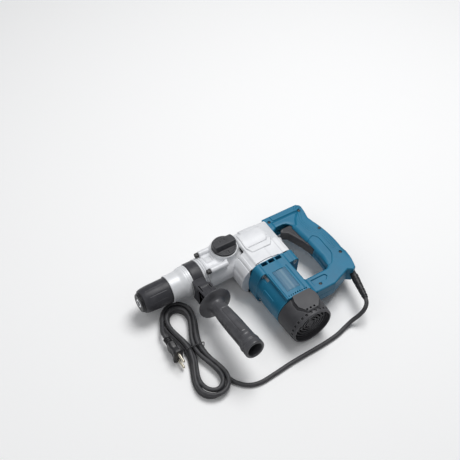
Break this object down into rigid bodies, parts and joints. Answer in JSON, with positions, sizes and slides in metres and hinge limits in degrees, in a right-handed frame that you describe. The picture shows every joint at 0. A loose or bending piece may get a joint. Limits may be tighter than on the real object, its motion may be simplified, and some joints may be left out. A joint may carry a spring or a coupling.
{
  "type": "rotary hammer",
  "caption": "Corded rotary hammer with a D-handle, an upright motor, a swivelling side handle and a coiled cord with a plug.",
  "frame": {"origin": "mouth of the tool socket on the spindle axis", "axes": "+X runs along the spindle towards the D-handle, +Y is the tool's top with the motor towards -Y, +Z is the tool's left side and points up as it lies"},
  "size_m": [0.3865, 0.2713, 0.094],
  "materials": {
    "cast_silver": "satin",
    "collar_silver": "satin",
    "teal_shell": "satin",
    "dark_plastic": "matt",
    "black_plastic": "satin",
    "black_rubber": "matt",
    "steel": "ground",
    "dark_steel": "oiled",
    "bearing_steel": "polished",
    "black_screw": "blackened",
    "lamination": "laminated",
    "copper": "enamelled",
    "brass": "satin",
    "carbon": "matt",
    "light_resin": "matt",
    "cord_rubber": "satin"
  },
  "bodies": {
    "housing": {"front_collar": "collar_silver", "front_bearing": "bearing_steel", "oil_seal": "black_rubber", "crank_bearings": "bearing_steel", "intermediate_bearings": "bearing_steel", "rear_spindle_bearing": "bearing_steel", "barrel_housing": "cast_silver", "barrel_screws": "black_screw", "gear_housing": "cast_silver", "motor_housing": "teal_shell", "motor_housing_screws": "steel", "end_cap": "dark_plastic", "motor_bearings": "bearing_steel", "stator_core": "lamination", "field_coils": "copper", "brush_holders": "brass", "carbon_brushes": "carbon", "handle_left": "teal_shell", "handle_right": "teal_shell", "handle_screws": "black_screw", "switch_body": "black_plastic", "terminal_block": "light_resin", "cord_guard": "black_rubber", "power_cord": "cord_rubber", "cord_hank": "cord_rubber", "cord_tie": "black_plastic", "plug_body": "cord_rubber", "plug_pins": "brass"},
    "armature": {"armature_shaft": "steel", "armature_core": "lamination", "commutator": "copper", "fan": "black_plastic"},
    "crank": {"crank_gear": "dark_steel", "crankshaft": "dark_steel"},
    "piston": {"piston": "steel", "piston_ring": "black_rubber", "gudgeon_pin": "bearing_steel", "connecting_rod": "dark_steel", "crank_pin": "bearing_steel"},
    "striker": {"striker": "steel", "striker_ring": "black_rubber"},
    "impact_bolt": {"impact_bolt": "dark_steel"},
    "spindle": {"tool_holder": "steel", "spindle_cylinder": "steel", "bevel_ring_gear": "dark_steel", "locking_balls": "bearing_steel", "dust_cap": "black_rubber", "snap_ring": "dark_steel", "sleeve_spring": "dark_steel"},
    "locking_sleeve": {"locking_sleeve": "black_plastic"},
    "intermediate": {"intermediate_gear": "dark_steel", "bevel_pinion_shaft": "dark_steel"},
    "mode_knob": {"mode_knob": "dark_plastic"},
    "trigger": {"trigger": "black_plastic", "trigger_spring": "steel"},
    "side_handle": {"clamp_band": "black_plastic", "handle_bracket": "dark_plastic", "clamp_bolt": "steel"},
    "side_grip": {"side_grip": "dark_plastic"}
  },
  "joints": [
    {"name": "armature_spin", "type": "hinge", "parent": "housing", "child": "armature", "pos_m": [0.2361, -0.1, 0], "axis": [0, 1, 0], "continuous": true},
    {"name": "crank_spin", "type": "hinge", "parent": "housing", "child": "crank", "pos_m": [0.2581, -0.04, 0], "axis": [0, 1, 0], "continuous": true},
    {"name": "intermediate_spin", "type": "hinge", "parent": "housing", "child": "intermediate", "pos_m": [0.2121, -0.04, 0], "axis": [0, 1, 0], "continuous": true},
    {"name": "spindle_spin", "type": "hinge", "parent": "housing", "child": "spindle", "pos_m": [0, 0, 0], "axis": [1, 0, 0], "continuous": true},
    {"name": "piston_slide", "type": "slide", "parent": "housing", "child": "piston", "axis": [-1, 0, 0], "range_m": [0, 0.016]},
    {"name": "striker_slide", "type": "slide", "parent": "spindle", "child": "striker", "axis": [-1, 0, 0], "range_m": [0, 0.0075]},
    {"name": "impact_bolt_slide", "type": "slide", "parent": "spindle", "child": "impact_bolt", "axis": [1, 0, 0], "range_m": [0, 0.005]},
    {"name": "sleeve_slide", "type": "slide", "parent": "spindle", "child": "locking_sleeve", "axis": [1, 0, 0], "range_m": [0, 0.006], "stiffness_N_per_m": 1500, "springref_m": -0.004, "deforming": ["sleeve_spring"]},
    {"name": "mode_knob_turn", "type": "hinge", "parent": "housing", "child": "mode_knob", "pos_m": [0.1805, 0.0075, 0.04], "axis": [0, 0, 1], "range_deg": [-90, 90]},
    {"name": "trigger_press", "type": "hinge", "parent": "housing", "child": "trigger", "pos_m": [0.3405, -0.058, 0], "axis": [0, 0, -1], "range_deg": [0, 7], "stiffness_Nm_per_rad": 2, "springref_deg": -8.59},
    {"name": "side_handle_swing", "type": "hinge", "parent": "housing", "child": "side_handle", "pos_m": [0.111, 0, 0], "axis": [1, 0, 0], "range_deg": [-180, 180]},
    {"name": "side_grip_turn", "type": "hinge", "parent": "side_handle", "child": "side_grip", "pos_m": [0.111, 0, 0], "axis": [0, 0.9863, -0.165], "range_deg": [-180, 180]}
  ],
  "couplings": [
    {"joint": "crank_spin", "follows": "armature_spin", "ratio": -0.22222},
    {"joint": "intermediate_spin", "follows": "armature_spin", "ratio": -0.2},
    {"joint": "spindle_spin", "follows": "armature_spin", "ratio": 0.057895}
  ]
}
